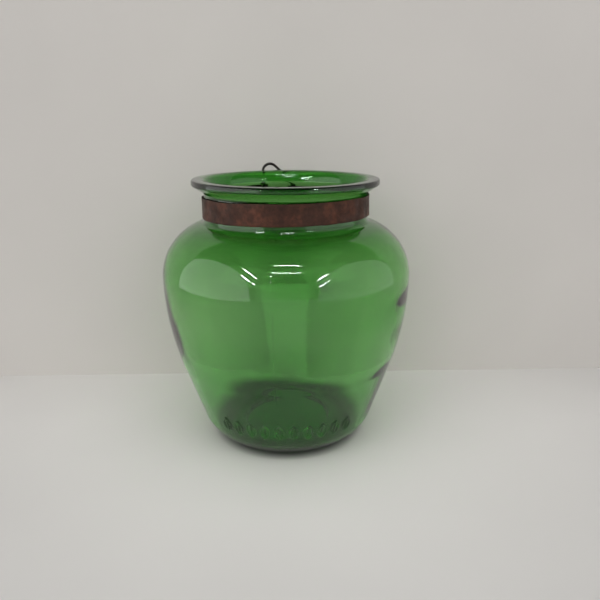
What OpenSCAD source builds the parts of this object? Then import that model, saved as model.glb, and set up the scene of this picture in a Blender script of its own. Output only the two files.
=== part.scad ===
// Wide-mouthed green glass jar that hangs by a wire loop tied to a copper strap round its neck.
// The jar stands on z = 0 with its axis on Z. The strap's open ends and the wire are at the back, +Y.

/* [Jar body] */
// Widest outer diameter, at the belly
belly_d = 154; // [130:1:190]
// Height of the belly's widest ring above the foot
belly_z = 106.5; // [90:0.5:130]
// Radius of the long curve from the belly down to the straight wall
wall_curve_r = 175; // [140:1:190]
// Lean of the straight lower wall from vertical
wall_lean = 19; // [16:0.5:20]
// Outer radius of the rounded corner between wall and foot
corner_r = 24; // [18:1:28]
// Fall of the shoulder where it meets the neck, from horizontal
shoulder_fall = 14.5; // [8:0.5:30]
// Glass thickness of the wall
wall_t = 3.2; // [2.5:0.1:4.5]
// Glass thickness of the floor
floor_t = 7.5; // [5:0.5:11]
// Radius of the rounded corner inside, between wall and floor
inner_corner_r = 8; // [6:1:16]
// Depth of the hollow under the foot
kick_h = 1.4; // [0.5:0.1:3]
// Width of the flat ring that the jar stands on
foot_ring_w = 4.5; // [3:0.5:8]

/* [Neck and rim] */
// Outer diameter of the straight neck
neck_d = 99.6; // [85:0.2:120]
// Height of the straight neck between the two fillets
neck_h = 13.6; // [13:0.1:26]
// Radius of the fillet between shoulder and neck
neck_fillet_r = 3.2; // [2:0.2:5]
// How far the rim stands out past the neck
rim_overhang = 7.2; // [6:0.2:9]
// Height of the rim's upright edge
rim_t = 3.8; // [3:0.1:6]
// Rounding of the rim's edges
rim_edge_r = 1.2; // [0.8:0.1:1.5]
// Slope of the rim's underside from horizontal
rim_slope = 32; // [20:1:45]
// Radius of the cove between the rim's underside and the neck
cove_r = 3; // [2:0.2:4.5]
// How far the mouth flares outward from the neck's bore
mouth_flare = 3.9; // [2:0.1:5]
// Height of the mouth's flare
mouth_flare_h = 8.5; // [6:0.5:9]

/* [Raised marks] */
// How many leaf marks stand in the row
mark_count = 10; // [4:1:12]
// Angle of the neck axis between neighbouring marks
mark_step = 8.3; // [8:0.1:10]
// Angle of the row's middle from the front, towards -X
mark_turn = 6.5; // [0:0.5:90]
// Height of the lowest point of the marks above the foot
mark_z = 18; // [18:0.5:24]
// Length of one leaf, up the wall
mark_l = 11.4; // [8:0.2:14]
// Width of one leaf
mark_w = 6; // [4:0.2:7]
// Width of the raised line that draws a leaf
mark_line = 0.9; // [0.7:0.1:1.2]
// How far the line stands proud of the wall
mark_proud = 0.8; // [0.4:0.1:1]

/* [Neck strap] */
// Width of the copper strip
strap_w = 12.5; // [9:0.5:12.5]
// Thickness of the copper strip
strap_t = 0.6; // [0.4:0.1:1]
// Radial clearance between strip and neck
strap_clear = 0.5; // [0.4:0.1:1]
// Opening between the strip's two ends at the back
strap_gap = 14.6; // [10:0.2:18]
// Angle from the back at which the strip leaves the neck and runs straight
tail_start = 26; // [24:1:32]
// Outward crease where the straight tails start
tail_crease = 12; // [10:0.5:15]
// How far the left end has ridden up above the right one
tail_rise = 3.1; // [0:0.1:3.2]
// How far across from the axis the left end starts to climb
rise_start = 45; // [35:1:46]
// Fore-and-aft tilt of the strap, front up
strap_pitch = 1.2; // [0:0.1:1.2]
// Sideways tilt of the strap, right up
strap_roll = 0.6; // [0:0.1:0.6]

/* [Wire hanger] */
// Wire diameter
wire_d = 1.8; // [1.2:0.1:1.8]
// Clearance between the wire's eye and the strip of copper it goes round
eye_clear = 0.9; // [0.8:0.05:1]
// Angle short of a full turn at which each eye's end is tucked against its leg
eye_tuck = 24; // [20:1:40]
// Copper left between each hole and the strap's top edge
eye_land = 1.2; // [1:0.1:1.4]
// Clearance of the wire in its hole
hole_clear = 1; // [0.9:0.05:1.1]
// Distance from each hole's centre to the strap's end
hole_inset = 3.4; // [3.2:0.1:4]
// Radius of the loop's crown, to the wire's centreline
crown_r = 5; // [3.5:0.1:6]
// Height of the crown's centreline above the rim
crown_rise = 4.4; // [2:0.1:12]
// Length of the right leg that stands square to the eyes before it bends in to the crown
riser_l = 3.6; // [3:0.1:4]
// Clearance between the standing loop and the rim's edge
rim_clear = 0.4; // [0.3:0.1:3]

/* [Hidden] */
$fn = 96;

// Jar: radii and heights that follow from the sizes above
belly_r = belly_d / 2;
neck_r = neck_d / 2;
rim_r = neck_r + rim_overhang;
bore_r = neck_r - wall_t;
mouth_r = bore_r + mouth_flare;
meet_a = 90 - shoulder_fall;
shoulder_r = (belly_r - neck_r) / (1 - cos(meet_a)) - neck_fillet_r;
foot_r = belly_r + (wall_curve_r * (1 - cos(wall_lean)) - corner_r * (1 - sin(wall_lean))
    - belly_z * sin(wall_lean)) / cos(wall_lean);
neck_z = belly_z + (shoulder_r + neck_fillet_r) * sin(meet_a);
cove_z = neck_z + neck_h;
under_a = rim_slope - 90;
rim_drop = ((rim_overhang - rim_edge_r - cove_r) * cos(under_a) + rim_edge_r + cove_r) / -sin(under_a);
jar_h = cove_z + rim_drop + rim_t - rim_edge_r;
flare_r = (mouth_flare_h * mouth_flare_h + mouth_flare * mouth_flare) / (2 * mouth_flare);
flare_a = asin(mouth_flare_h / flare_r);
lip_r = mouth_r + rim_edge_r * tan(45 - flare_a / 2);
arc_steps = 24;

// Offset of the straight lower wall from the axis, measured along its normal
wall_offset = foot_r * cos(wall_lean) - corner_r * sin(wall_lean) + corner_r;
inner_corner_z = floor_t + inner_corner_r;
inner_corner_x = (wall_offset - wall_t - inner_corner_r + inner_corner_z * sin(wall_lean)) / cos(wall_lean);

// Points on an arc from angle a0 to a1
function arc(cx, cy, r, a0, a1, steps = arc_steps) =
    [for (i = [0:steps]) let (a = a0 + (a1 - a0) * i / steps) [cx + r * cos(a), cy + r * sin(a)]];

// One side of the wall from the foot's corner up to the straight neck, at depth t inside the glass
function body_curve(t) = concat(
    arc(belly_r - wall_curve_r, belly_z, wall_curve_r - t, -wall_lean, 0),
    arc(belly_r - shoulder_r, belly_z, shoulder_r - t, 90 / arc_steps, meet_a),
    arc(neck_r + neck_fillet_r, neck_z, neck_fillet_r + t, 180 + meet_a, 180, 8));

outer_line = concat(
    arc(foot_r, corner_r, corner_r, -90, -wall_lean, 12),
    body_curve(0),
    arc(neck_r + cove_r, cove_z, cove_r, 180, 90 + rim_slope, 8),
    arc(rim_r - rim_edge_r, jar_h - rim_t + rim_edge_r, rim_edge_r, under_a, 0, 6),
    arc(rim_r - rim_edge_r, jar_h - rim_edge_r, rim_edge_r, 0, 90, 6));
inner_line = concat(
    [[0, floor_t]],
    arc(inner_corner_x, inner_corner_z, inner_corner_r, -90, -wall_lean, 12),
    body_curve(wall_t),
    arc(bore_r + flare_r, jar_h - mouth_flare_h, flare_r, 180, 180 - flare_a, 10),
    [[lip_r, jar_h]]);

// Marks: the row stands on the straight part of the lower wall
function wall_r(z) = (wall_offset + z * sin(wall_lean)) / cos(wall_lean);
mark_mid_z = mark_z + mark_l / 2 * cos(wall_lean);
mark_arc_r = (mark_l * mark_l + mark_w * mark_w) / (4 * mark_w);
mark_band = 3;

// Strap: the round part, then two straight tails that stand off the glass
strap_in = neck_r + strap_clear;
strap_mid = strap_in + strap_t / 2;
strap_z = neck_z + neck_h / 2;
tail_a = tail_start + tail_crease;
hole_x = strap_gap / 2 + hole_inset * cos(tail_a);
hole_y = tail_y(strap_mid, hole_x);
hole_r = wire_d / 2 + hole_clear;
hole_z = strap_w / 2 - eye_land - hole_r;
climb = tail_rise / (rise_start - strap_gap / 2);
left_lift = climb * (rise_start - hole_x);

// How far back a tail's face stands at x, if its ring has radius r
function tail_y(r, x) = r * cos(tail_start) + (r * sin(tail_start) - x) * tan(tail_a);

// Hanger: the eyes turn about the line through the middles of the two lands
wire_r = wire_d / 2;
eye_r = norm([eye_land, strap_t]) / 2 + eye_clear + wire_r;
eye_z = strap_w / 2 - eye_land / 2;
axis_dip = atan2(left_lift, 2 * hole_x);
span = norm([left_lift, 2 * hole_x]);
bend_d = 1.06 * wire_d;

// The eyes stand square to their own line, so each hole lies a little to the left of its land's middle
hole_shift = (eye_z - hole_z) * tan(axis_dip);

// The loop leans just enough for its legs to pass the lower and the upper edge of the rim
axis_y = hole_y * cos(strap_pitch) + eye_z * sin(strap_pitch);
axis_z = strap_z - hole_y * sin(strap_pitch) - hole_x * sin(strap_roll) + eye_z + left_lift;
edge_y = rim_r - rim_edge_r - axis_y;
low_edge_z = jar_h - rim_t + rim_edge_r - axis_z;
high_edge_z = jar_h - rim_edge_r - axis_z;
hanger_lean = max(lean_past(low_edge_z), lean_past(high_edge_z));

function lean_past(edge_z) =
    acos((eye_r - rim_edge_r - wire_r - rim_clear) / norm([edge_y, edge_z])) - atan2(edge_z, edge_y);

// The loop's own plane: u runs from the left eye to the right one, v runs up the loop
crown_up = (jar_h + crown_rise - axis_z) / cos(hanger_lean) - crown_r;
left_touch = 180 + axis_dip;
crown_c = crown_up * [-sin(axis_dip), cos(axis_dip)] + crown_r * [cos(axis_dip), sin(axis_dip)];
riser_top = [span, riser_l];
to_crown = riser_top - crown_c;
right_touch = atan2(to_crown[1], to_crown[0]) + acos(crown_r / norm(to_crown));

function crown_point(a) = crown_c + crown_r * [cos(a), sin(a)];

// Puts things made in the strap's own frame, level and centred, where the strap sits on the neck
module on_neck() {
    translate([0, 0, strap_z])
        rotate([-strap_pitch, -strap_roll, 0])
            children();
}

// Puts things made along Z about the origin on the line through the two eyes, at the left eye
module on_eye_axis() {
    on_neck()
        translate([-hole_x, hole_y, eye_z + left_lift])
            rotate([0, 90 + axis_dip, 0])
                children();
}

module leaf_outline(shrink) {
    intersection_for (side = [-1, 1])
        translate([side * (mark_arc_r - mark_w / 2), 0])
            circle(r = mark_arc_r - shrink);
}

module leaf() {
    difference() {
        leaf_outline(0);
        leaf_outline(mark_line);
    }
    square([mark_line, mark_l - 4 * mark_line], center = true);
}

// The thin layer of glass that the marks are cut from
module mark_layer() {
    lift = mark_proud / cos(wall_lean);
    sink = wall_t / 2;
    top_z = mark_z + mark_l + mark_band;
    low_z = mark_z - 1;
    rotate_extrude()
        polygon([[wall_r(low_z) - sink, low_z], [wall_r(low_z) + lift, low_z],
            [wall_r(top_z) + lift, top_z], [wall_r(top_z) - sink, top_z]]);
}

module marks() {
    intersection() {
        mark_layer();
        for (i = [0:mark_count - 1])
            rotate([0, 0, (i - (mark_count - 1) / 2) * mark_step - mark_turn])
                translate([0, -wall_r(mark_mid_z), mark_mid_z])
                    rotate([90 + wall_lean, 0, 0])
                        translate([0, 0, -wall_t])
                            linear_extrude(2 * wall_t)
                                leaf();
    }
}

module glass_jar() {
    color("forestgreen") {
        difference() {
            rotate_extrude()
                polygon(concat([[0, 0]], outer_line, [[lip_r, jar_h]],
                    [for (i = [len(inner_line) - 2:-1:0]) inner_line[i]]));
            rotate_extrude()
                polygon([[0, -1], [foot_r - foot_ring_w, -1], [foot_r - foot_ring_w, 0],
                    [foot_r - foot_ring_w - 2 * kick_h, kick_h], [0, kick_h]]);
        }
        marks();
    }
}

// Plan of the strap: an open ring with a straight tail at each end
module strap_plan() {
    difference() {
        strap_outline(strap_in + strap_t);
        strap_outline(strap_in);
        translate([-strap_gap / 2, 0])
            square([strap_gap, 2 * strap_in]);
    }
}

// A circle with the two tails' lines drawn on until they meet at the back
module strap_outline(r) {
    circle(r = r);
    polygon([[0, 0], [r * sin(tail_start), r * cos(tail_start)], [0, tail_y(r, 0)],
        [-r * sin(tail_start), r * cos(tail_start)]]);
}

// The part of the strap's plan that stays level: all but the back left quarter
module level_band() {
    reach = 2 * strap_mid;
    translate([-reach, -reach, -strap_w / 2])
        cube([2 * reach, reach, strap_w]);
    translate([0, 0, -strap_w / 2])
        cube([reach, reach, strap_w]);
}

// The back left quarter, where the strip climbs towards its end
module climbing_band() {
    reach = 2 * strap_mid;
    end_lift = climb * rise_start;
    translate([0, reach, 0])
        rotate([90, 0, 0])
            linear_extrude(reach)
                polygon([[-reach, -strap_w / 2], [-rise_start, -strap_w / 2], [0, end_lift - strap_w / 2],
                    [0, end_lift + strap_w / 2], [-rise_start, strap_w / 2], [-reach, strap_w / 2]]);
}

module neck_strap() {
    color("saddlebrown")
        on_neck()
            difference() {
                intersection() {
                    translate([0, 0, -strap_w])
                        linear_extrude(2 * strap_w)
                            strap_plan();
                    union() {
                        level_band();
                        climbing_band();
                    }
                }
                for (side = [-1, 1])
                    translate([side * hole_x - hole_shift, hole_y + side * hole_shift * tan(tail_a),
                        hole_z + (side < 0 ? left_lift : 0)])
                        rotate([-90, 0, -side * tail_a])
                            cylinder(r = hole_r, h = 4 * strap_t, center = true);
            }
}

// A straight length of wire between two points of the loop's plane, with a slight knuckle at each end
module wire_run(p, q) {
    d = q - p;
    translate([p[0], p[1], 0])
        rotate([0, 0, atan2(d[1], d[0])])
            rotate([0, 90, 0]) {
                cylinder(d = wire_d, h = norm(d));
                sphere(d = bend_d);
                translate([0, 0, norm(d)])
                    sphere(d = bend_d);
            }
}

// A ring round the land. It starts at the leg, goes through the hole and back over the strap's edge
module eye() {
    translate([0, 0, eye_r])
        rotate([0, -90, 0])
            rotate([0, 0, 180])
                rotate_extrude(angle = 360 - eye_tuck)
                    translate([eye_r, 0])
                        circle(d = wire_d);
}

// The left leg runs straight from its eye to the crown, the right one by way of its riser
module legs() {
    wire_run([0, 0], crown_point(left_touch));
    wire_run([span, 0], riser_top);
    wire_run(riser_top, crown_point(right_touch));
    for (u = [0, span])
        translate([u, 0, 0])
            eye();
}

module wire_hanger() {
    color("dimgray")
        on_eye_axis()
            rotate([0, 0, -hanger_lean])
                rotate([0, -90, 0])
                    rotate([90, 0, 0])
                        translate([0, 0, -eye_r]) {
                            legs();
                            translate([crown_c[0], crown_c[1], 0])
                                rotate([0, 0, right_touch])
                                    rotate_extrude(angle = left_touch - right_touch)
                                        translate([crown_r, 0])
                                            circle(d = wire_d);
                        }
}

glass_jar();
neck_strap();
wire_hanger();
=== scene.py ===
"""Looks for a wide-mouthed green glass jar with a copper neck strap and a wire hanger.

Lengths in this file are in millimetres until MM turns them into metres.
The row frame has +Z up, the strap's open ends and the wire at the back (+Y).
"""

import math

import bpy
import numpy as np
from mathutils import Matrix, Vector


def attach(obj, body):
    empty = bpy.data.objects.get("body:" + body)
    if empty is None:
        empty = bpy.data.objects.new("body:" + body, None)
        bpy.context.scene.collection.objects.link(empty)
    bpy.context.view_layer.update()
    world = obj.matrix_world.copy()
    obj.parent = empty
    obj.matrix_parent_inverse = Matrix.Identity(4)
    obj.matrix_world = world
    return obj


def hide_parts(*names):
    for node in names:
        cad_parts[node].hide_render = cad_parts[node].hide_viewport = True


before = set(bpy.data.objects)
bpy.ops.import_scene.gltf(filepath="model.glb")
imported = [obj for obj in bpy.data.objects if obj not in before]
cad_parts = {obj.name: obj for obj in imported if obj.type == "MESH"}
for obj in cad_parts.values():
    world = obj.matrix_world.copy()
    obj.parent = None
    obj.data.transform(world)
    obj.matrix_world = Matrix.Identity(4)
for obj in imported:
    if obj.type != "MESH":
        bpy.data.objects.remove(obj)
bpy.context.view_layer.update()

MM = 0.001

# ---------------------------------------------------------------- sizes of the CAD part, in mm
BELLY_R = 77.0
BELLY_Z = 106.5
WALL_CURVE_R = 175.0
WALL_LEAN = math.radians(19)
CORNER_R = 24.0
SHOULDER_FALL = math.radians(14.5)
WALL_T = 3.2
FLOOR_T = 7.5
INNER_CORNER_R = 8.0
KICK_H = 1.4
FOOT_RING_W = 4.5
NECK_R = 49.8
NECK_H = 13.6
NECK_FILLET_R = 3.2
RIM_OVERHANG = 7.2
RIM_T = 3.8
RIM_EDGE_R = 1.2
RIM_SLOPE = math.radians(32)
COVE_R = 3.0
MOUTH_FLARE = 3.9
MOUTH_FLARE_H = 8.5
MARK_COUNT = 10
MARK_STEP = math.radians(8.3)
MARK_TURN = math.radians(6.5)
MARK_Z = 18.0
MARK_L = 11.4
MARK_W = 6.0
MARK_LINE = 0.9
MARK_PROUD = 0.8
STRAP_W = 12.5
STRAP_T = 0.6
STRAP_CLEAR = 0.5
STRAP_GAP = 14.6
TAIL_START = math.radians(26)
TAIL_CREASE = math.radians(12)
TAIL_RISE = 3.1
RISE_START = 45.0
STRAP_PITCH = math.radians(1.2)
STRAP_ROLL = math.radians(0.6)
WIRE_D = 1.8
EYE_CLEAR = 0.9
EYE_LAND = 1.2
HOLE_CLEAR = 1.0
HOLE_INSET = 3.4
CROWN_R = 5.0
CROWN_RISE = 4.4
RISER_L = 3.6
RIM_CLEAR = 0.4

# ---------------------------------------------------------------- looks the CAD part leaves out, in mm
SEAM_TURN = math.radians(11.5)
SEAM_PROUD = 0.16
SEAM_HALF_W = 0.42
OUTER_SINK = 0.12
INNER_WAVE = 0.24
INNER_BAND = 0.20
LIP_ROUND = 0.55
STRAP_DENT = 0.09
STRAP_CURL = 0.12
STRAP_EDGE_R = 0.22
EYE_TURN = math.radians(352)
EYE_DRIFT = 1.95
WIRE_WAVER = 0.05

# ---------------------------------------------------------------- sizes that follow from them
RIM_R = NECK_R + RIM_OVERHANG
BORE_R = NECK_R - WALL_T
MOUTH_R = BORE_R + MOUTH_FLARE
MEET_A = math.pi / 2 - SHOULDER_FALL
SHOULDER_R = (BELLY_R - NECK_R) / (1 - math.cos(MEET_A)) - NECK_FILLET_R
FOOT_R = BELLY_R + (
    WALL_CURVE_R * (1 - math.cos(WALL_LEAN))
    - CORNER_R * (1 - math.sin(WALL_LEAN))
    - BELLY_Z * math.sin(WALL_LEAN)
) / math.cos(WALL_LEAN)
NECK_Z = BELLY_Z + (SHOULDER_R + NECK_FILLET_R) * math.sin(MEET_A)
COVE_Z = NECK_Z + NECK_H
UNDER_A = RIM_SLOPE - math.pi / 2
RIM_DROP = (
    (RIM_OVERHANG - RIM_EDGE_R - COVE_R) * math.cos(UNDER_A) + RIM_EDGE_R + COVE_R
) / -math.sin(UNDER_A)
JAR_H = COVE_Z + RIM_DROP + RIM_T - RIM_EDGE_R
FLARE_R = (MOUTH_FLARE_H**2 + MOUTH_FLARE**2) / (2 * MOUTH_FLARE)
FLARE_A = math.asin(MOUTH_FLARE_H / FLARE_R)
LIP_R = MOUTH_R + RIM_EDGE_R * math.tan((math.pi / 2 - FLARE_A) / 2)
WALL_OFFSET = FOOT_R * math.cos(WALL_LEAN) - CORNER_R * math.sin(WALL_LEAN) + CORNER_R
INNER_CORNER_Z = FLOOR_T + INNER_CORNER_R
INNER_CORNER_X = (
    WALL_OFFSET - WALL_T - INNER_CORNER_R + INNER_CORNER_Z * math.sin(WALL_LEAN)
) / math.cos(WALL_LEAN)
STRAP_IN = NECK_R + STRAP_CLEAR
STRAP_MID = STRAP_IN + STRAP_T / 2
STRAP_Z = NECK_Z + NECK_H / 2
TAIL_A = TAIL_START + TAIL_CREASE
HOLE_X = STRAP_GAP / 2 + HOLE_INSET * math.cos(TAIL_A)
HOLE_Y = (
    STRAP_MID * math.cos(TAIL_START)
    + (STRAP_MID * math.sin(TAIL_START) - HOLE_X) * math.tan(TAIL_A)
)
HOLE_R = WIRE_D / 2 + HOLE_CLEAR
HOLE_Z = STRAP_W / 2 - EYE_LAND - HOLE_R
CLIMB = TAIL_RISE / (RISE_START - STRAP_GAP / 2)
LEFT_LIFT = CLIMB * (RISE_START - HOLE_X)
WIRE_R = WIRE_D / 2
EYE_R = math.hypot(EYE_LAND, STRAP_T) / 2 + EYE_CLEAR + WIRE_R
EYE_Z = STRAP_W / 2 - EYE_LAND / 2
AXIS_DIP = math.atan2(LEFT_LIFT, 2 * HOLE_X)
SPAN = math.hypot(LEFT_LIFT, 2 * HOLE_X)
HOLE_SHIFT = (EYE_Z - HOLE_Z) * math.tan(AXIS_DIP)
AXIS_Y = HOLE_Y * math.cos(STRAP_PITCH) + EYE_Z * math.sin(STRAP_PITCH)
AXIS_Z = (
    STRAP_Z - HOLE_Y * math.sin(STRAP_PITCH) - HOLE_X * math.sin(STRAP_ROLL) + EYE_Z + LEFT_LIFT
)
EDGE_Y = RIM_R - RIM_EDGE_R - AXIS_Y
EDGE_Z = JAR_H - RIM_T + RIM_EDGE_R - AXIS_Z
HANGER_LEAN = math.acos(
    (EYE_R - RIM_EDGE_R - WIRE_R - RIM_CLEAR) / math.hypot(EDGE_Y, EDGE_Z)
) - math.atan2(EDGE_Z, EDGE_Y)


# ---------------------------------------------------------------- helpers
def new_mesh_object(name, verts, faces, smooth=True):
    mesh = bpy.data.meshes.new(name)
    mesh.from_pydata([tuple(v) for v in verts], [], faces)
    mesh.validate()
    mesh.update()
    if smooth:
        mesh.shade_smooth()
    obj = bpy.data.objects.new(name, mesh)
    bpy.context.scene.collection.objects.link(obj)
    return obj


def smoothstep(lo, hi, x):
    t = np.clip((x - lo) / (hi - lo), 0, 1)
    return t * t * (3 - 2 * t)


def waves(points, seed, count, low, high):
    """A smooth field of about unit size: plane waves with wavelengths from low to high mm."""
    rng = np.random.default_rng(seed)
    total = np.zeros(len(points))
    weight = 0.0
    for _ in range(count):
        direction = rng.normal(size=3)
        direction /= np.linalg.norm(direction)
        length = math.exp(rng.uniform(math.log(low), math.log(high)))
        size = math.sqrt(length / high)
        phase = rng.uniform(0, 2 * math.pi)
        total += size * np.sin(points @ direction * 2 * math.pi / length + phase)
        weight += size * size / 2
    return total / math.sqrt(weight)


# Turns an arc's normals towards its centre, for the hollow curves
INWARD = [1, 1, -1, -1]


def soften(values, times):
    """Averages each value with its neighbours, leaving the ends where they are."""
    for _ in range(times):
        values[1:-1] = (values[:-2] + 2 * values[1:-1] + values[2:]) / 4


def arc(cx, cz, r, a0, a1, n):
    """Rows of (r, z, normal r, normal z) along an arc, its normals pointing away from its centre."""
    a = np.linspace(a0, a1, n + 1)
    return np.c_[cx + r * np.cos(a), cz + r * np.sin(a), np.cos(a), np.sin(a)]


def line(p, q, n, normal):
    """Rows of (r, z, normal r, normal z) along a straight line."""
    t = np.linspace(0, 1, n + 1)[:, None]
    pts = np.array(p) * (1 - t) + np.array(q) * t
    return np.c_[pts, np.tile(normal, (n + 1, 1))]


# ---------------------------------------------------------------- glass jar
def jar_profile():
    """Rows of (r, z, normal r, normal z, kind) going round the glass from the foot's centre.

    The kind is 0 outside and 1 inside.
    """
    lean_cos, lean_sin = math.cos(WALL_LEAN), math.sin(WALL_LEAN)
    foot_in = FOOT_R - FOOT_RING_W
    corner_end = (FOOT_R + CORNER_R * lean_cos, CORNER_R - CORNER_R * lean_sin)
    curve_start = (BELLY_R - WALL_CURVE_R + WALL_CURVE_R * lean_cos, BELLY_Z - WALL_CURVE_R * lean_sin)
    # the underside's step down to the foot ring
    kick_step = [
        [foot_in - 1.9 * KICK_H, 0.94 * KICK_H, 0, -1],
        [foot_in - 1.3 * KICK_H, 0.62 * KICK_H, -0.4, -0.9],
        [foot_in - 0.6 * KICK_H, 0.2 * KICK_H, -0.4, -0.9],
        [foot_in, 0, 0, -1],
    ]
    outside = np.vstack([
        line((0, KICK_H), (foot_in - 2.6 * KICK_H, KICK_H), 10, (0, -1)),
        kick_step,
        arc(FOOT_R, CORNER_R, CORNER_R, -math.pi / 2, -WALL_LEAN, 46),
        line(corner_end, curve_start, 116, (lean_cos, -lean_sin)),
        arc(BELLY_R - WALL_CURVE_R, BELLY_Z, WALL_CURVE_R, -WALL_LEAN, 0, 44),
        arc(BELLY_R - SHOULDER_R, BELLY_Z, SHOULDER_R, 0, MEET_A, 44),
        arc(NECK_R + NECK_FILLET_R, NECK_Z, NECK_FILLET_R, math.pi + MEET_A, math.pi, 10) * INWARD,
        line((NECK_R, NECK_Z), (NECK_R, COVE_Z), 10, (1, 0)),
        arc(NECK_R + COVE_R, COVE_Z, COVE_R, math.pi, math.pi / 2 + RIM_SLOPE, 8) * INWARD,
        arc(RIM_R - RIM_EDGE_R, JAR_H - RIM_T + RIM_EDGE_R, RIM_EDGE_R, UNDER_A, 0, 8),
        arc(RIM_R - RIM_EDGE_R, JAR_H - RIM_EDGE_R, RIM_EDGE_R, 0, math.pi / 2, 8),
    ])
    inside = np.vstack([
        line((0, FLOOR_T), (INNER_CORNER_X, FLOOR_T), 14, (0, -1)),
        arc(INNER_CORNER_X, INNER_CORNER_Z, INNER_CORNER_R, -math.pi / 2, -WALL_LEAN, 18),
        arc(BELLY_R - WALL_CURVE_R, BELLY_Z, WALL_CURVE_R - WALL_T, -WALL_LEAN, 0, 46),
        arc(BELLY_R - SHOULDER_R, BELLY_Z, SHOULDER_R - WALL_T, 0, MEET_A, 34),
        arc(NECK_R + NECK_FILLET_R, NECK_Z, NECK_FILLET_R + WALL_T, math.pi + MEET_A, math.pi, 12) * INWARD,
        arc(BORE_R + FLARE_R, JAR_H - MOUTH_FLARE_H, FLARE_R, math.pi, math.pi - FLARE_A, 10) * INWARD,
        arc(LIP_R + 0.25, JAR_H - LIP_ROUND, LIP_ROUND, math.pi, math.pi / 2, 4),
    ])[::-1]
    rows = np.vstack([np.c_[outside, np.zeros(len(outside))], np.c_[inside, np.ones(len(inside))]])
    # rows closer than this to the one before would only make slivers
    keep = [0]
    for i in range(1, len(rows)):
        if np.hypot(*(rows[i, :2] - rows[keep[-1], :2])) > 0.05:
            keep.append(i)
    return rows[keep]


def column_angles():
    """Angles from -Y towards +X: fine in front, where the marks and a seam are, coarser behind."""
    fine_lo, fine_hi = math.radians(-54), math.radians(44)
    fine = np.arange(fine_lo, fine_hi, math.radians(0.22))
    coarse = np.linspace(fine_hi, 2 * math.pi + fine_lo, 240, endpoint=False)
    return np.r_[fine, coarse]


def mark_height(phi, z):
    """How far the leaf marks stand out at this angle and height."""
    mid_z = MARK_Z + MARK_L / 2 * math.cos(WALL_LEAN)
    big_r = (MARK_L**2 + MARK_W**2) / (4 * MARK_W)
    v = (z - mid_z) / math.cos(WALL_LEAN)
    r = (WALL_OFFSET + z * math.sin(WALL_LEAN)) / math.cos(WALL_LEAN)
    index = np.round((phi + MARK_TURN) / MARK_STEP + (MARK_COUNT - 1) / 2)
    centre = (index - (MARK_COUNT - 1) / 2) * MARK_STEP - MARK_TURN
    u = r * np.sin(phi - centre)
    off = big_r - MARK_W / 2
    inside = np.maximum(np.hypot(u - off, v), np.hypot(u + off, v)) - big_r
    outline = np.abs(inside + MARK_LINE / 2)
    half = MARK_L / 2 - 2 * MARK_LINE
    rib = np.hypot(u, np.maximum(np.abs(v) - half, 0))
    d = np.minimum(outline, rib)
    height = MARK_PROUD * (1 - smoothstep(0.28, MARK_LINE / 2 + 0.02, d))
    return np.where((index >= 0) & (index < MARK_COUNT), height, 0)


def make_jar():
    """The profile turned round the jar's axis, with its marks, seams and unevenness as real shape."""
    rows = jar_profile()
    phi = column_angles()
    n, m = len(phi), len(rows)
    r, z, nr, nz, kind = (np.repeat(rows[:, i], n) for i in range(5))
    inner = kind > 0.5
    outside = ~inner
    a = np.tile(phi, m)
    a_wrapped = (a + math.pi) % (2 * math.pi) - math.pi
    xyz = np.c_[r * np.sin(a), -r * np.cos(a), z]

    body = smoothstep(2, 22, z) * (1 - smoothstep(JAR_H - 34, JAR_H - 24, z))
    # outside: marks, mould seams and a slow unevenness that only goes inwards
    lift = np.zeros(len(r))
    marks = mark_height(a_wrapped, z) * (z > MARK_Z - 2) * (z < MARK_Z + MARK_L + 3)
    lift += np.where(outside, marks, 0)
    for turn in (0, math.pi):
        seam = (a_wrapped + SEAM_TURN + turn + math.pi) % (2 * math.pi) - math.pi
        ridge = SEAM_PROUD * np.exp(-((seam * r / SEAM_HALF_W) ** 2)) * smoothstep(10, 16, z)
        ridge *= 1 - smoothstep(JAR_H - 27, JAR_H - 25, z)
        at_belly = smoothstep(BELLY_Z - 12, BELLY_Z, z) * (1 - smoothstep(BELLY_Z, BELLY_Z + 12, z))
        ridge *= 1 - 0.5 * at_belly
        lift += np.where(outside, ridge, 0)
    slow = waves(xyz, 3, 10, 45, 120)
    lift -= np.where(outside, body * OUTER_SINK * (1 + 0.5 * slow), 0)
    # inside: the blown surface is wavier than the moulded one
    wavy = waves(xyz, 11, 14, 45, 120)
    bands = waves(xyz * [0.45, 0.45, 1.7], 12, 12, 30, 80)
    calm = 1 - 0.85 * smoothstep(100, 118, z)
    uneven = inner & (z >= FLOOR_T + 9)
    thick = np.where(uneven, body * calm * (INNER_WAVE * wavy + INNER_BAND * bands), 0)
    r2 = r + nr * (lift - thick)
    z2 = z + nz * (lift - thick)
    # the foot's ring stays on the floor
    z2 = np.where(outside, np.maximum(z2, 0), z2)

    verts = np.c_[r2 * np.sin(a), -r2 * np.cos(a), z2] * MM
    # the first and last rows are on the axis, so each becomes one point
    verts = np.vstack([verts[n:-n], [(0, 0, rows[0, 1] * MM), (0, 0, rows[-1, 1] * MM)]])
    ring = m - 2
    first_pole, last_pole = ring * n, ring * n + 1
    faces = []
    j = np.arange(n)
    k = (j + 1) % n
    for i in range(ring - 1):
        lo, hi = i * n, (i + 1) * n
        faces.extend(np.c_[lo + j, lo + k, hi + k, hi + j].tolist())
    faces.extend([(first_pole, int(b), int(c)) for b, c in zip(k, j)])
    base = (ring - 1) * n
    faces.extend([(last_pole, int(base + b), int(base + c)) for b, c in zip(j, k)])
    return new_mesh_object("jar_glass", verts, faces)


# ---------------------------------------------------------------- where the strap sits
ON_NECK = (
    Matrix.Translation((0, 0, STRAP_Z))
    @ Matrix.Rotation(-STRAP_ROLL, 4, "Y")
    @ Matrix.Rotation(-STRAP_PITCH, 4, "X")
)


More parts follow.
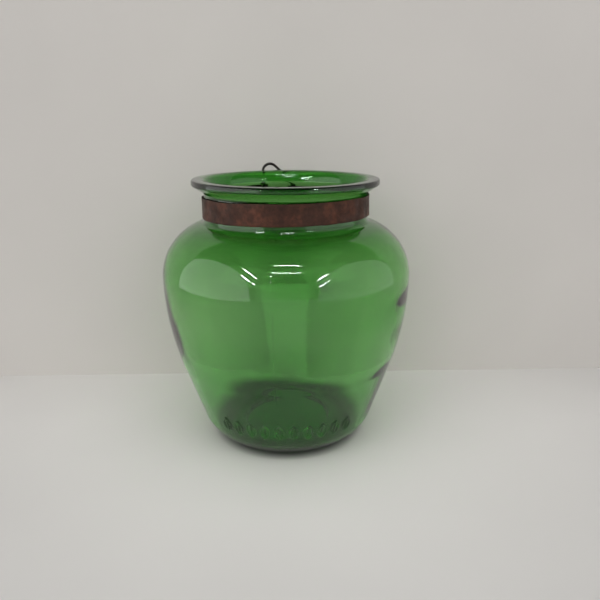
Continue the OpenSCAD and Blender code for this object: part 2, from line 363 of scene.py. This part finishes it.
def on_neck(points):
    m = np.array(ON_NECK)
    return points @ m[:3, :3].T + m[:3, 3]


def strap_line(t):
    """The strip's centreline in plan, for t from 0 (left end) to 1 (right end), and its normals."""
    tail_len = (STRAP_MID * math.sin(TAIL_START) - STRAP_GAP / 2) / math.cos(TAIL_A)
    round_len = STRAP_MID * (2 * math.pi - 2 * TAIL_START)
    total = round_len + 2 * tail_len
    s = t * total
    from_end = np.minimum(s, total - s)
    on_tail = from_end < tail_len
    side = np.where(s < total / 2, -1.0, 1.0)
    along = tail_len - from_end
    root = np.array([STRAP_MID * math.sin(TAIL_START), STRAP_MID * math.cos(TAIL_START)])
    tail = np.c_[side * (root[0] - along * math.cos(TAIL_A)), root[1] + along * math.sin(TAIL_A)]
    tail_n = np.c_[side * math.sin(TAIL_A), np.full(len(t), math.cos(TAIL_A))]
    a = -TAIL_START - (s - tail_len) / STRAP_MID
    round_n = np.c_[np.sin(a), np.cos(a)]
    ring = STRAP_MID * round_n
    return np.where(on_tail[:, None], tail, ring), np.where(on_tail[:, None], tail_n, round_n)


def make_strap():
    """The strip as one closed band with rounded edges, gently dented, and its two holes cut."""
    n_along = 760
    t = np.linspace(0, 1, n_along)
    centre, normal = strap_line(t)
    soften(normal, 5)
    normal /= np.linalg.norm(normal, axis=1)[:, None]
    left_rear = (centre[:, 0] < 0) & (centre[:, 1] > 0)
    lift = np.where(left_rear, CLIMB * np.maximum(0, RISE_START + centre[:, 0]), 0)
    soften(lift, 12)
    # the loop round one cross-section: outside going up, over the edge, inside going down
    half_w, half_t = STRAP_W / 2, STRAP_T / 2
    edge = STRAP_EDGE_R
    across = np.linspace(-half_w + edge, half_w - edge, 13)
    bend = np.linspace(0, math.pi, 7)[1:-1]
    loop = [(w, half_t) for w in across]
    loop += [(half_w - edge + edge * math.sin(b), half_t * math.cos(b)) for b in bend]
    loop += [(w, -half_t) for w in across[::-1]]
    loop += [(-half_w + edge - edge * math.sin(b), -half_t * math.cos(b)) for b in bend]
    loop = np.array(loop)
    k = len(loop)
    w = np.tile(loop[:, 0], n_along)
    off = np.tile(loop[:, 1], n_along)
    rep = np.repeat(np.arange(n_along), k)
    cx, nn = centre[rep], normal[rep]
    base = np.c_[cx, w]
    # hand-cut edges and a band that has been bent by hand
    cut = 0.10 * waves(np.c_[cx, 30 * np.sign(w)], 21, 10, 8, 40) - 0.12
    w = w + np.sign(w) * cut * (np.abs(w) > half_w - 0.6)
    dent = STRAP_DENT * (1 + waves(base * [1, 1, 2.0], 22, 14, 7, 40)) * 0.5
    curl = STRAP_CURL * (np.abs(w) / half_w) ** 3
    out = off + dent + curl
    pts = np.c_[cx + nn * out[:, None], w + lift[rep]]
    verts = on_neck(pts) * MM
    faces = []
    j = np.arange(k)
    j2 = (j + 1) % k
    for i in range(n_along - 1):
        lo, hi = i * k, (i + 1) * k
        faces.extend(np.c_[lo + j, hi + j, hi + j2, lo + j2].tolist())
    faces.append(list(range(k)))
    faces.append(list(range((n_along - 1) * k, n_along * k))[::-1])
    strap = new_mesh_object("strap_copper", verts, faces)
    cut_holes(strap)
    return strap


def cut_holes(strap):
    """Cuts the strip's two holes square through its tails."""
    neck = ON_NECK.copy()
    neck.translation = neck.translation * MM
    cutters = []
    for side in (-1, 1):
        bpy.ops.mesh.primitive_cylinder_add(vertices=40, radius=HOLE_R * MM, depth=6 * MM)
        cutter = bpy.context.object
        centre = (
            side * HOLE_X - HOLE_SHIFT,
            HOLE_Y + side * HOLE_SHIFT * math.tan(TAIL_A),
            HOLE_Z + (LEFT_LIFT if side < 0 else 0),
        )
        turn = Matrix.Rotation(-side * TAIL_A, 4, "Z") @ Matrix.Rotation(-math.pi / 2, 4, "X")
        cutter.matrix_world = neck @ (Matrix.Translation(Vector(centre) * MM) @ turn)
        cutters.append(cutter)
    for cutter in cutters:
        mod = strap.modifiers.new("hole", "BOOLEAN")
        mod.object = cutter
        mod.operation = "DIFFERENCE"
        mod.solver = "EXACT"
    bpy.context.view_layer.update()
    depsgraph = bpy.context.evaluated_depsgraph_get()
    cut_mesh = bpy.data.meshes.new_from_object(strap.evaluated_get(depsgraph))
    strap.modifiers.clear()
    strap.data = cut_mesh
    cut_mesh.name = "strap_copper"
    for cutter in cutters:
        bpy.data.objects.remove(cutter)
    cut_mesh.set_sharp_from_angle(angle=math.radians(50))


# ---------------------------------------------------------------- wire hanger
def hanger_path():
    """The wire's centreline from the left eye's end to the right eye's end, in mm."""
    dip, lean = AXIS_DIP, HANGER_LEAN
    crown_up = (JAR_H + CROWN_RISE - AXIS_Z) / math.cos(lean) - CROWN_R
    cu = -crown_up * math.sin(dip) + CROWN_R * math.cos(dip)
    cv = crown_up * math.cos(dip) + CROWN_R * math.sin(dip)
    left_touch = math.pi + dip
    du, dv = SPAN - cu, RISER_L - cv
    right_touch = math.atan2(dv, du) + math.acos(CROWN_R / math.hypot(du, dv))

    def eye(u, side, turns):
        a = np.linspace(0, turns, 60)
        drift = side * EYE_DRIFT * smoothstep(math.radians(190), math.radians(335), a)
        return np.c_[u + drift, -EYE_R * np.sin(a), EYE_R * np.cos(a)]

    def run(p, q, n):
        t = np.linspace(0, 1, n)[1:-1, None]
        return np.array(p) * (1 - t) + np.array(q) * t

    def crown(a):
        return np.c_[cu + CROWN_R * np.cos(a), cv + CROWN_R * np.sin(a), np.full(len(a), EYE_R)]

    left = eye(0, -1, EYE_TURN)[::-1]
    right = eye(SPAN, 1, EYE_TURN)
    top = crown(np.linspace(left_touch, right_touch, 50))
    riser_top = (SPAN, RISER_L, EYE_R)
    path = np.vstack([
        left,
        run(left[-1], top[0], 40),
        top,
        run(top[-1], riser_top, 40),
        [riser_top],
        run(riser_top, right[0], 12),
        right,
    ])
    # even spacing, then rounded corners and the slight waver of wire bent by hand
    for _ in range(2):
        step = np.r_[0, np.cumsum(np.linalg.norm(np.diff(path, axis=0), axis=1))]
        even = np.linspace(0, step[-1], 430)
        path = np.c_[[np.interp(even, step, path[:, i]) for i in range(3)]].T
        soften(path, 14)
    path[:, 0] += waves(path, 31, 6, 6, 18) * WIRE_WAVER
    # loop's plane (u along the eyes, v up the loop, w outward) to the strap's own frame
    u_dir = np.array([math.cos(dip), 0, -math.sin(dip)])
    up0 = np.array([math.sin(dip), 0, math.cos(dip)])
    out0 = np.array([0.0, 1, 0])
    v_dir = up0 * math.cos(lean) + out0 * math.sin(lean)
    w_dir = out0 * math.cos(lean) - up0 * math.sin(lean)
    origin = np.array([-HOLE_X, HOLE_Y, EYE_Z + LEFT_LIFT])
    return on_neck(origin + path[:, :1] * u_dir + path[:, 1:2] * v_dir + path[:, 2:] * w_dir)


def tube(name, path, radius, sides=20):
    """A round tube along a path, with rounded ends. Path and radius are in mm."""
    tangent = np.gradient(path, axis=0)
    tangent /= np.linalg.norm(tangent, axis=1)[:, None]
    ref = np.cross(tangent[0], [0.3, 0.5, 0.8])
    ref /= np.linalg.norm(ref)
    verts = []
    angles = np.linspace(0, 2 * math.pi, sides, endpoint=False)

    def ring(centre, t, rad):
        side = np.cross(t, ref)
        return [centre + rad * (math.cos(a) * ref + math.sin(a) * side) for a in angles]

    cap = np.radians([80, 60, 40, 20])
    bulge = 0.6 * radius
    for b in cap:
        verts += ring(path[0] - tangent[0] * bulge * math.sin(b), tangent[0], radius * math.cos(b))
    for p, t in zip(path, tangent):
        ref = ref - t * (ref @ t)
        ref /= np.linalg.norm(ref)
        verts += ring(p, t, radius)
    for b in cap[::-1]:
        verts += ring(path[-1] + tangent[-1] * bulge * math.sin(b), tangent[-1], radius * math.cos(b))
    rings = len(verts) // sides
    faces = []
    for i in range(rings - 1):
        for j in range(sides):
            k = (j + 1) % sides
            faces.append((i * sides + j, i * sides + k, (i + 1) * sides + k, (i + 1) * sides + j))
    faces.append(list(range(sides))[::-1])
    faces.append(list(range((rings - 1) * sides, rings * sides)))
    return new_mesh_object(name, np.array(verts) * MM, faces)


# ---------------------------------------------------------------- materials
class Nodes:
    """A short way to lay out a material's nodes."""

    def __init__(self, name):
        self.mat = bpy.data.materials.new(name)
        self.mat.use_nodes = True
        self.tree = self.mat.node_tree
        self.tree.nodes.clear()
        self.out = self.tree.nodes.new("ShaderNodeOutputMaterial")

    def add(self, kind, **values):
        node = self.tree.nodes.new(kind)
        for key, value in values.items():
            if key.startswith("_"):
                setattr(node, key[1:], value)
            else:
                node.inputs[key.replace("_", " ")].default_value = value
        return node

    def link(self, a, b):
        self.tree.links.new(a, b)

    def coords(self):
        return self.add("ShaderNodeTexCoord").outputs["Object"]

    def noise(self, scale, detail=4.0, roughness=0.55, stretch=None):
        node = self.add("ShaderNodeTexNoise", Scale=scale, Detail=detail, Roughness=roughness)
        source = self.coords()
        if stretch:
            mapping = self.add("ShaderNodeMapping")
            mapping.inputs["Scale"].default_value = stretch
            self.link(source, mapping.inputs["Vector"])
            source = mapping.outputs["Vector"]
        self.link(source, node.inputs["Vector"])
        return node.outputs["Fac"]

    def ramp(self, fac, stops):
        node = self.add("ShaderNodeValToRGB")
        elements = node.color_ramp.elements
        while len(elements) < len(stops):
            elements.new(0.5)
        for element, (place, colour) in zip(elements, stops):
            element.position = place
            element.color = (*colour, 1)
        self.link(fac, node.inputs["Fac"])
        return node.outputs["Color"]

    def spread(self, fac, lo, hi, from_lo=0.3, from_hi=0.7):
        node = self.add("ShaderNodeMapRange")
        node.inputs["From Min"].default_value = from_lo
        node.inputs["From Max"].default_value = from_hi
        node.inputs["To Min"].default_value = lo
        node.inputs["To Max"].default_value = hi
        self.link(fac, node.inputs["Value"])
        return node.outputs["Result"]

    def mix(self, fac, a, b, blend="MIX"):
        node = self.add("ShaderNodeMix", _data_type="RGBA", _blend_type=blend)
        for source, sock in ((fac, 0), (a, 6), (b, 7)):
            if hasattr(source, "is_linked"):
                self.link(source, node.inputs[sock])
            elif sock == 0:
                node.inputs[sock].default_value = source
            else:
                node.inputs[sock].default_value = (*source, 1)
        return node.outputs[2]

    def bump(self, height, distance, strength=1.0):
        node = self.add("ShaderNodeBump", Strength=strength, Distance=distance)
        self.link(height, node.inputs["Height"])
        return node.outputs["Normal"]


# Colour of the glass surface at heights in mm: the foot and the neck look thicker than they are. The
# darkest rows at the foot also hold painted shade from beneath the jar, and the dark band at 134 to 140 mm
# holds painted shade below the strap.
GLASS_TINT_AND_SHADE = [
    (0, (0.03, 0.08, 0.025)),
    (4, (0.07, 0.15, 0.055)),
    (8, (0.42, 0.56, 0.37)),
    (13, (0.70, 0.82, 0.66)),
    (32, (0.84, 0.93, 0.82)),
    (58, (1, 1, 1)),
    (112, (1, 1, 1)),
    (124, (0.84, 0.92, 0.80)),
    (134, (0.48, 0.68, 0.42)),
    (140, (0.14, 0.34, 0.11)),
    (150, (0.30, 0.48, 0.25)),
    (168, (0.34, 0.50, 0.29)),
]
TINT_TOP = 170.0
# Colour of the glass near the jar's axis, and where it gives way to the colours above, in metres
UNDER_TINT = (0.60, 0.90, 0.52)
UNDER_EDGE = (0.032, 0.040)
# What the glass takes out of red, green and blue light over each metre
GLASS_LOSS = (205.0, 58.0, 245.0)
GLASS_DENSITY = 250.0

# The painted light and painted shadow on the floor and wall change over this distance from the foot's
# centre, in metres
PAINTED_LIGHT_REACH = 0.30


def glass_material():
    n = Nodes("green_glass")
    shader = n.add("ShaderNodeBsdfPrincipled")
    coords = n.coords()
    split = n.add("ShaderNodeSeparateXYZ")
    n.link(coords, split.inputs[0])
    height = n.spread(split.outputs["Z"], 0, 1, 0, TINT_TOP * MM)
    # the glass's own colour by height, with painted shade at the foot and just below the strap
    tint_and_shade = n.ramp(height, [(z / TINT_TOP, colour) for z, colour in GLASS_TINT_AND_SHADE])
    from_axis = n.add("ShaderNodeVectorMath", _operation="LENGTH")
    flat = n.add("ShaderNodeVectorMath", _operation="MULTIPLY")
    flat.inputs[1].default_value = (1, 1, 0)
    n.link(coords, flat.inputs[0])
    n.link(flat.outputs[0], from_axis.inputs[0])
    beyond = n.spread(from_axis.outputs["Value"], 0, 1, *UNDER_EDGE)
    n.link(n.mix(beyond, UNDER_TINT, tint_and_shade), shader.inputs["Base Color"])
    shader.inputs["Roughness"].default_value = 0.0
    shader.inputs["IOR"].default_value = 1.5
    shader.inputs["Transmission Weight"].default_value = 1.0
    n.link(n.bump(n.noise(160, 3, 0.5), 0.00002, 0.35), shader.inputs["Normal"])
    volume = n.add("ShaderNodeVolumeAbsorption")
    volume.inputs["Color"].default_value = (*(1 - x / GLASS_DENSITY for x in GLASS_LOSS), 1)
    volume.inputs["Density"].default_value = GLASS_DENSITY
    n.link(shader.outputs[0], n.out.inputs["Surface"])
    n.link(volume.outputs[0], n.out.inputs["Volume"])
    return n.mat


def copper_material():
    n = Nodes("aged_copper")
    shader = n.add("ShaderNodeBsdfPrincipled")
    patina = [(0.30, (0.025, 0.011, 0.007)), (0.5, (0.050, 0.019, 0.011)), (0.72, (0.105, 0.035, 0.018))]
    blotch = n.ramp(n.noise(95, 5, 0.6), patina)
    fine = n.ramp(n.noise(520, 4, 0.6), [(0.35, (0.75, 0.72, 0.70)), (0.7, (1.2, 1.12, 1.08))])
    n.link(n.mix(1.0, blotch, fine, "MULTIPLY"), shader.inputs["Base Color"])
    shader.inputs["Metallic"].default_value = 0.35
    shader.inputs["Specular IOR Level"].default_value = 0.3
    n.link(n.spread(n.noise(210, 4), 0.42, 0.66), shader.inputs["Roughness"])
    scratches = n.noise(900, 3, 0.6, stretch=(1, 1, 9))
    n.link(n.bump(scratches, 0.00006, 0.5), shader.inputs["Normal"])
    n.link(shader.outputs[0], n.out.inputs["Surface"])
    return n.mat


def wire_material():
    n = Nodes("dark_iron")
    shader = n.add("ShaderNodeBsdfPrincipled")
    scale = [(0.35, (0.012, 0.010, 0.009)), (0.6, (0.022, 0.018, 0.016)), (0.8, (0.05, 0.028, 0.018))]
    n.link(n.ramp(n.noise(700, 4, 0.6), scale), shader.inputs["Base Color"])
    shader.inputs["Metallic"].default_value = 0.6
    n.link(n.spread(n.noise(500, 3), 0.35, 0.6), shader.inputs["Roughness"])
    n.link(n.bump(n.noise(1500, 3), 0.00005, 0.6), shader.inputs["Normal"])
    n.link(shader.outputs[0], n.out.inputs["Surface"])
    return n.mat


def paper_material(name, colour, painted_light_near, painted_contact_level, see_through_back=False):
    """Matt paper with painted light near the jar and, round its foot, a painted level that makes a contact
    shadow where it is below 1.
    """
    n = Nodes(name)
    shader = n.add("ShaderNodeBsdfPrincipled")
    low = tuple(c * 0.97 for c in colour)
    high = tuple(min(1, c * 1.03) for c in colour)
    paper = n.ramp(n.noise(4, 3), [(0.35, low), (0.65, high)])
    from_jar = n.add("ShaderNodeVectorMath", _operation="LENGTH")
    n.link(n.coords(), from_jar.inputs[0])
    distance = n.spread(from_jar.outputs["Value"], 0, 1, 0, PAINTED_LIGHT_REACH)
    # painted shade beneath the jar's base out to about 27 mm, a painted contact shadow ring at about 35 to
    # 41 mm, then painted light from about 50 mm that fades out at the reach
    stops = [(0.09, 0.8), (0.115, painted_contact_level), (0.138, painted_contact_level), (0.165, painted_light_near), (0.26, painted_light_near), (1.0, 1.0)]
    # a ramp's colours stop at 1, so the levels go in halved and come out doubled
    lift = n.ramp(distance, [(place, (level / 2,) * 3) for place, level in stops])
    # the paper's own tone times the painted light and shade
    paper = n.mix(1.0, n.mix(1.0, paper, lift, "MULTIPLY"), (2, 2, 2), "MULTIPLY")
    n.link(paper, shader.inputs["Base Color"])
    shader.inputs["Roughness"].default_value = 0.75
    shader.inputs["Specular IOR Level"].default_value = 0.25
    if see_through_back:
        clear = n.add("ShaderNodeBsdfTransparent")
        mixed = n.add("ShaderNodeMixShader")
        n.link(n.add("ShaderNodeNewGeometry").outputs["Backfacing"], mixed.inputs["Fac"])
        n.link(shader.outputs[0], mixed.inputs[1])
        n.link(clear.outputs[0], mixed.inputs[2])
        n.link(mixed.outputs[0], n.out.inputs["Surface"])
    else:
        n.link(shader.outputs[0], n.out.inputs["Surface"])
    return n.mat


# ---------------------------------------------------------------- the object
jar = make_jar()
jar.data.materials.append(glass_material())
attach(jar, "jar")
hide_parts("glass_jar")

strap = make_strap()
strap.data.materials.clear()
strap.data.materials.append(copper_material())
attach(strap, "strap")
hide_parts("neck_strap")

wire = tube("wire_loop", hanger_path(), WIRE_R)
wire.data.materials.append(wire_material())
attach(wire, "hanger")
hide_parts("wire_hanger")

# ---------------------------------------------------------------- stage: camera, floor, wall, lights
CAMERA_TURN = math.radians(5.5)
CAMERA_AIM = math.radians(1.31)
CAMERA_PITCH = math.radians(17.0)
CAMERA_ROLL = math.radians(0.23)
CAMERA_DISTANCE = 370.1
CAMERA_Z = 200.1
WALL_BEHIND = 83.0
WALL_HALF_W = 420.0
WALL_TOP = 330.0
FLOOR_FAR = 1500.0
FLOOR_Z = -0.02
LAMP_WIDTH = 18
LAMP_RADIANCE = 105.0
# Brightness of the room for directions from -X to +X, and what it is multiplied by from -Z to +Z
ROOM_ACROSS = [(-1, 0.8), (-0.6, 0.95), (-0.25, 0.4), (0.2, 0.3), (0.6, 0.8), (1, 0.6)]
ROOM_UP = [(-1, 0.4), (0, 0.42), (0.3, 0.34), (0.55, 0.18), (0.8, 0.12), (1, 0.12)]
STAGE = Matrix.Rotation(-CAMERA_TURN, 3, "Z")


def make_camera():
    data = bpy.data.cameras.new("camera")
    data.lens = 36
    data.sensor_width = 36
    data.clip_start = 0.005
    data.clip_end = 50
    camera = bpy.data.objects.new("camera", data)
    bpy.context.scene.collection.objects.link(camera)
    a = CAMERA_TURN + CAMERA_AIM
    right = Vector((math.cos(a), -math.sin(a), 0))
    level, fall = math.cos(CAMERA_PITCH), math.sin(CAMERA_PITCH)
    forward = Vector((math.sin(a) * level, math.cos(a) * level, -fall))
    up = right.cross(forward)
    right2 = right * math.cos(CAMERA_ROLL) - up * math.sin(CAMERA_ROLL)
    up2 = up * math.cos(CAMERA_ROLL) + right * math.sin(CAMERA_ROLL)
    turn = Matrix((right2, up2, -forward)).transposed()
    place = STAGE @ Vector((0, -CAMERA_DISTANCE, CAMERA_Z)) * MM
    camera.matrix_world = Matrix.Translation(place) @ turn.to_4x4()
    bpy.context.scene.camera = camera


def make_panel(name, corners, material):
    """A flat panel through four corners given in the stage's frame, in mm."""
    verts = [STAGE @ Vector(c) * MM for c in corners]
    panel = new_mesh_object(name, verts, [(0, 1, 2, 3)], smooth=False)
    panel.data.materials.append(material)


def area_light(name, place, target, size, size_y, power, shine_only=False, matte_only=False):
    """An area light in the stage's frame, in mm, facing target."""
    data = bpy.data.lights.new(name, "AREA")
    data.shape = "RECTANGLE"
    data.size, data.size_y = size * MM, size_y * MM
    data.energy = power
    light = bpy.data.objects.new(name, data)
    bpy.context.scene.collection.objects.link(light)
    p, t = STAGE @ Vector(place) * MM, STAGE @ Vector(target) * MM
    turn = (t - p).to_track_quat("-Z", "Y").to_matrix().to_4x4()
    light.matrix_world = Matrix.Translation(p) @ turn
    light.visible_camera = False
    if matte_only:
        light.visible_glossy = False
    if shine_only:
        light.visible_diffuse = False
        light.visible_transmission = False
    return light


def lamp_light(name, one_end, other_end, width, radiance):
    """A tube lamp between two points of the stage's frame, facing the jar, seen only as a shine."""
    a, b = Vector(one_end), Vector(other_end)
    middle, belly, length = (a + b) / 2, Vector((0, 0, BELLY_Z)), (b - a).length
    power = radiance * math.pi * length * width * MM * MM
    light = area_light(name, middle, belly, length, width, power, shine_only=True)
    out = (STAGE @ (middle - belly)).normalized()
    along = STAGE @ (b - a)
    along = (along - out * along.dot(out)).normalized()
    place = light.matrix_world.translation.copy()
    turn = Matrix((along, out.cross(along), out)).transposed()
    light.matrix_world = Matrix.Translation(place) @ turn.to_4x4()


def make_world():
    """A room that is dim overhead and straight ahead of the jar, and paler low down at both sides."""
    world = bpy.data.worlds.new("studio")
    world.use_nodes = True
    tree = world.node_tree
    coord = tree.nodes.new("ShaderNodeTexCoord")
    split = tree.nodes.new("ShaderNodeSeparateXYZ")
    tree.links.new(coord.outputs["Generated"], split.inputs[0])

    def ramp(axis, stops):
        to_unit = tree.nodes.new("ShaderNodeMapRange")
        to_unit.inputs["From Min"].default_value = -1
        to_unit.inputs["From Max"].default_value = 1
        tree.links.new(split.outputs[axis], to_unit.inputs["Value"])
        node = tree.nodes.new("ShaderNodeValToRGB")
        node.color_ramp.interpolation = "EASE"
        elements = node.color_ramp.elements
        while len(elements) < len(stops):
            elements.new(0.5)
        for element, (place, level) in zip(elements, stops):
            element.position = (place + 1) / 2
            element.color = (level, level * 0.99, level * 0.965, 1)
        tree.links.new(to_unit.outputs["Result"], node.inputs["Fac"])
        return node.outputs["Color"]

    both = tree.nodes.new("ShaderNodeMix")
    both.data_type = "RGBA"
    both.blend_type = "MULTIPLY"
    both.inputs[0].default_value = 1.0
    tree.links.new(ramp("X", ROOM_ACROSS), both.inputs[6])
    tree.links.new(ramp("Z", ROOM_UP), both.inputs[7])
    tree.links.new(both.outputs[2], tree.nodes["Background"].inputs["Color"])
    bpy.context.scene.world = world


make_camera()
# the floor gets painted light round the jar and painted shade beneath and round its foot; the wall gets
# painted light near the jar
floor_mat = paper_material("floor_paper", (0.56, 0.545, 0.53), painted_light_near=1.34, painted_contact_level=0.35)
wall_mat = paper_material(
    "wall_paper", (0.595, 0.57, 0.545), painted_light_near=1.10, painted_contact_level=1.10, see_through_back=True
)
floor_corners = ((-1, -1), (1, -1), (1, 1), (-1, 1))
make_panel("floor", [(x * FLOOR_FAR, y * FLOOR_FAR, FLOOR_Z) for x, y in floor_corners], floor_mat)
wall_corners = ((-1, FLOOR_Z), (1, FLOOR_Z), (1, WALL_TOP), (-1, WALL_TOP))
make_panel("back_wall", [(x * WALL_HALF_W, WALL_BEHIND, z) for x, z in wall_corners], wall_mat)
make_world()

area_light("soft_left", (-900, -1000, 1100), (0, 0, 60), 1300, 1000, 6.2, matte_only=True)
area_light("soft_right", (950, -950, 1100), (0, 0, 60), 1300, 1000, 5.8, matte_only=True)
area_light("soft_front", (0, -1500, 450), (0, 0, 60), 1600, 700, 5.0, matte_only=True)
area_light("overhead", (0, -350, 1500), (0, -60, 0), 1700, 1500, 11.5, matte_only=True)

# Pale screens at the sides, seen only as a soft shine: a few ovals inside one another, so no edge shows
for side, place, level in (("left", (-560, -180, 90), 1.45), ("right", (560, -240, 90), 0.80)):
    for i, grow in enumerate((0.55, 0.75, 1.0, 1.3)):
        wide, high = 820 * grow, 900 * grow
        power = level * wide * high * MM * MM * math.pi**2 / 4
        card = area_light(f"screen_{side}_{i}", place, (0, 0, 100), wide, high, power, shine_only=True)
        card.data.shape = "ELLIPSE"

# Room lamps, by their two ends: each shows in the shoulder as one short bright line
LAMPS = {
    "lamp_left": ((-793, -666, 1198), (-600, -1132, 919)),
    "lamp_mid": ((-265, -745, 1384), (282, -742, 1382)),
    "lamp_right": ((642, -1158, 848), (803, -901, 1016)),
    "lamp_mid_low": ((-296, -1030, 1173), (315, -1026, 1171)),
    "lamp_left_low": ((-887, -869, 969), (-654, -1258, 659)),
    "lamp_right_low": ((696, -1276, 558), (877, -1053, 757)),
}
for lamp_name, (one_end, other_end) in LAMPS.items():
    lamp_light(lamp_name, one_end, other_end, LAMP_WIDTH, LAMP_RADIANCE)

bpy.context.scene.view_settings.view_transform = "Standard"
